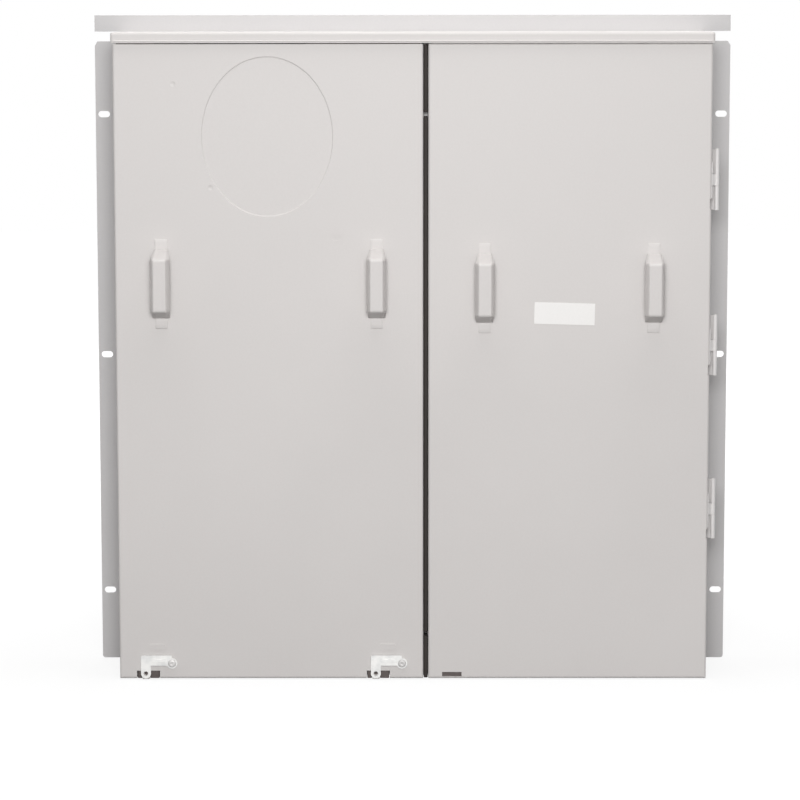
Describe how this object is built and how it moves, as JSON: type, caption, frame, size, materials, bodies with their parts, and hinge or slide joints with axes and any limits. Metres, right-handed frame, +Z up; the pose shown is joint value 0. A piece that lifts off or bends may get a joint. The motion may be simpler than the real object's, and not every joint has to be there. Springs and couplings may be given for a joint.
{
  "type": "electric meter box",
  "caption": "Shallow wall-mounted steel enclosure with a lift-off meter cover, a hinged door, pull handles, swinging latches and slotted fixing flanges.",
  "frame": {"origin": "bottom of the bounding box, centred in X and Y, on the surface that the box stands on", "axes": "+X to the right across the front, +Y towards the wall, +Z up; the front faces -Y"},
  "size_m": [0.711, 0.146, 0.731],
  "materials": {
    "enclosure_paint": "satin grey",
    "inner_paint": "satin grey",
    "hinge_steel": "satin grey",
    "zinc": "zinc plated",
    "aluminium": "plain",
    "brass": "tin-dulled",
    "insulator": "matt black",
    "breaker_plastic": "matt black",
    "toggle_plastic": "dark grey",
    "label": "blank white sticker"
  },
  "bodies": {
    "casing": {"back_panel": "enclosure_paint", "casing": "enclosure_paint", "roof_hood": "enclosure_paint", "partition": "inner_paint", "mullion": "inner_paint", "socket_bracket": "inner_paint", "mounting_panel": "inner_paint", "hinge_body_leaf_upper": "hinge_steel", "hinge_body_leaf_middle": "hinge_steel", "hinge_body_leaf_lower": "hinge_steel", "hinge_pin_upper": "hinge_steel", "hinge_pin_middle": "hinge_steel", "hinge_pin_lower": "hinge_steel", "mullion_screws": "zinc", "neutral_bar_screws": "zinc", "ground_bar_screws": "zinc", "neutral_bar_posts": "zinc", "ground_bar_posts": "zinc", "panel_posts": "zinc", "panel_nuts": "zinc", "breaker_rail": "zinc", "breaker_lug_screws": "zinc", "socket_lug_screws": "zinc", "socket_lugs": "aluminium", "breaker_lugs": "aluminium", "neutral_bar": "aluminium", "ground_bar": "aluminium", "meter_jaw_line_left": "brass", "meter_jaw_line_right": "brass", "meter_jaw_load_left": "brass", "meter_jaw_load_right": "brass", "socket_base": "insulator", "breaker_case": "breaker_plastic"},
    "cover": {"meter_cover": "enclosure_paint", "cover_handle_left": "enclosure_paint", "cover_handle_right": "enclosure_paint", "latch_rivet_left": "zinc", "latch_rivet_right": "zinc"},
    "latch_left": {"latch_left": "zinc"},
    "latch_right": {"latch_right": "zinc"},
    "door": {"hinged_door": "enclosure_paint", "door_label": "label", "door_handle_left": "enclosure_paint", "door_handle_right": "enclosure_paint", "hinge_door_leaf_upper": "hinge_steel", "hinge_door_leaf_middle": "hinge_steel", "hinge_door_leaf_lower": "hinge_steel"},
    "toggle": {"breaker_toggle": "toggle_plastic"}
  },
  "joints": [
    {"name": "cover_tilt", "type": "hinge", "parent": "casing", "child": "cover", "pos_m": [0, -0.0405, 0.6985], "axis": [-1, 0, 0], "range_deg": [0, 80]},
    {"name": "latch_left_swing", "type": "hinge", "parent": "cover", "child": "latch_left", "pos_m": [-0.267, -0.045, 0.018], "axis": [0, 1, 0], "range_deg": [0, 90]},
    {"name": "latch_right_swing", "type": "hinge", "parent": "cover", "child": "latch_right", "pos_m": [-0.012, -0.045, 0.018], "axis": [0, 1, 0], "range_deg": [0, 90]},
    {"name": "door_swing", "type": "hinge", "parent": "casing", "child": "door", "pos_m": [0.3325, -0.023, 0.37], "axis": [0, 0, 1], "range_deg": [0, 170]},
    {"name": "toggle_throw", "type": "hinge", "parent": "casing", "child": "toggle", "pos_m": [0.171, -0.013, 0.515], "axis": [-1, 0, 0], "range_deg": [0, 60]}
  ]
}
